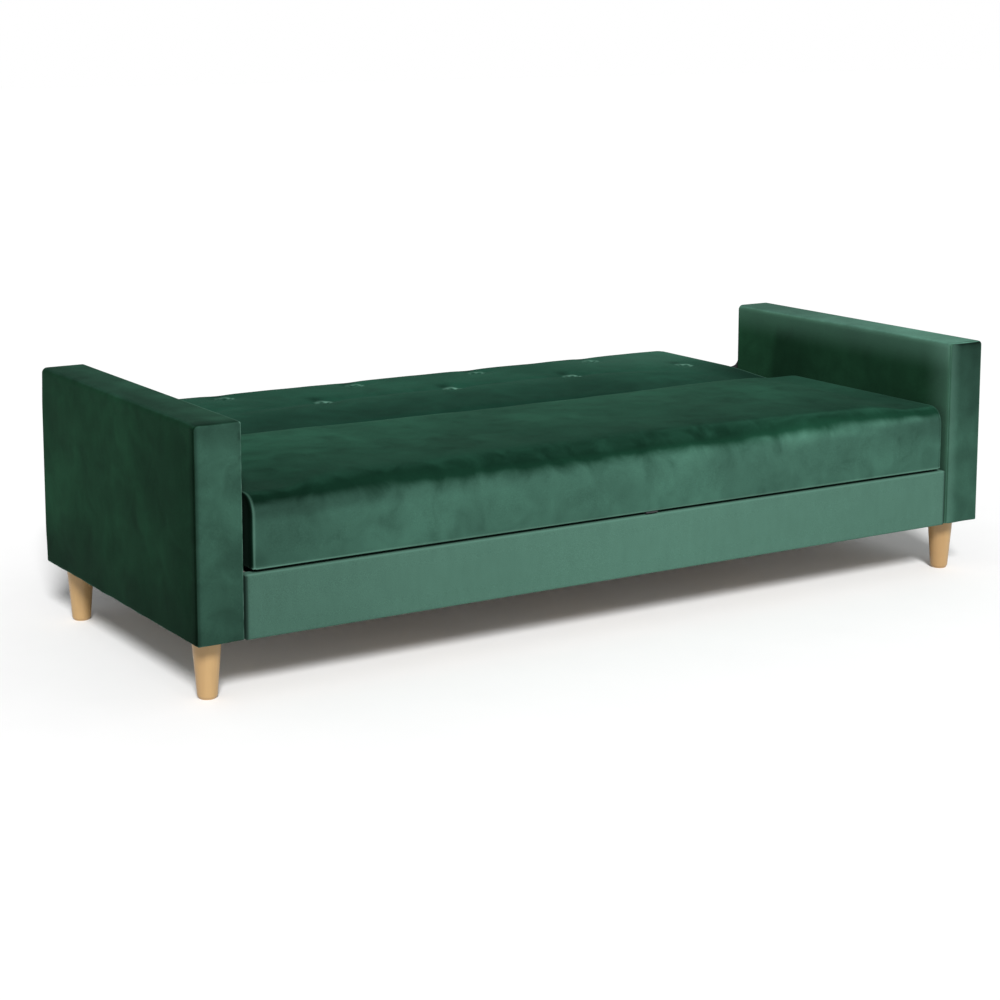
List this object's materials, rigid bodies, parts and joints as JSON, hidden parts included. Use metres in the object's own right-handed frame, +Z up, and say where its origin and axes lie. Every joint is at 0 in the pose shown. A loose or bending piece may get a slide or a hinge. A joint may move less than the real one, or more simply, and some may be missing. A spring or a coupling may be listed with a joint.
{
  "type": "sofa bed",
  "caption": "Click-clack futon sofa bed shown as a bed: tufted fold-flat back, lift-up seat over a storage box, slab arms and tapered wooden legs, in velvet.",
  "frame": {"origin": "on the floor, under the middle of the opened bed", "axes": "+X to the sofa's left-hand arm as seen by someone sitting in it, which is the right of a viewer in front, +Y from the front to the back's free edge, +Z up"},
  "size_m": [2.04, 1.14, 0.56],
  "materials": {
    "velvet": "satin",
    "base_cloth": "matte",
    "webbing": "matte",
    "foam": "matte",
    "beech": "satin",
    "pine": "matte",
    "board": "matte",
    "black_steel": "satin",
    "zinc_steel": "satin",
    "rubber": "matte"
  },
  "bodies": {
    "base": {"arm_frame_left": "pine", "arm_frame_right": "pine", "arm_panels_left": "board", "arm_panels_right": "board", "arm_cover_left": "velvet", "arm_cover_right": "velvet", "arm_base_cloth_left": "base_cloth", "arm_base_cloth_right": "base_cloth", "leg_front_left": "beech", "leg_front_right": "beech", "leg_rear_left": "beech", "leg_rear_right": "beech", "leg_bolts": "zinc_steel", "leg_nut_plates": "zinc_steel", "box_front_board": "board", "box_rear_board": "board", "box_side_left": "board", "box_side_right": "board", "box_floor": "board", "floor_ledgers": "pine", "cross_battens": "pine", "front_panel_cover": "velvet", "rear_panel_cover": "velvet", "arm_fixing_bolts": "zinc_steel", "arm_spacers": "rubber", "rest_buffers": "rubber", "hinge_base_left": "black_steel", "hinge_base_right": "black_steel", "bracket_bolts": "zinc_steel", "pivot_rivets": "zinc_steel", "hinge_washers": "zinc_steel", "stop_pins": "zinc_steel", "hinge_guard_left": "base_cloth", "hinge_guard_right": "base_cloth"},
    "seat": {"seat_frame": "pine", "seat_webbing": "webbing", "seat_foam": "foam", "seat_cover": "velvet", "seat_base_cloth": "base_cloth", "seat_arm_left": "black_steel", "seat_arm_right": "black_steel", "seat_arm_pads": "rubber", "seat_screws": "zinc_steel", "seat_pull_tab": "webbing"},
    "back": {"back_frame": "pine", "back_webbing": "webbing", "back_foam": "foam", "back_cover": "velvet", "back_base_cloth": "base_cloth", "back_arm_left": "black_steel", "back_arm_right": "black_steel", "back_arm_pads": "rubber", "back_screws": "zinc_steel", "tuft_ties": "webbing"},
    "pawl_left": {"pawl_left": "black_steel"},
    "pawl_right": {"pawl_right": "black_steel"}
  },
  "joints": [
    {"name": "back_recline", "type": "hinge", "parent": "base", "child": "back", "pos_m": [0, 0.076, 0.33], "axis": [1, 0, 0], "range_deg": [0, 78]},
    {"name": "seat_lift", "type": "hinge", "parent": "base", "child": "seat", "pos_m": [0, -0.03, 0.368], "axis": [-1, 0, 0], "range_deg": [0, 50]},
    {"name": "pawl_left_turn", "type": "hinge", "parent": "base", "child": "pawl_left", "pos_m": [-0.9103, 0.03105, 0.27783], "axis": [-1, 0, 0], "range_deg": [0, 8]},
    {"name": "pawl_right_turn", "type": "hinge", "parent": "base", "child": "pawl_right", "pos_m": [0.9103, 0.03105, 0.27783], "axis": [-1, 0, 0], "range_deg": [0, 8]}
  ],
  "couplings": [
    {"joint": "pawl_right_turn", "follows": "pawl_left_turn", "ratio": 1}
  ]
}
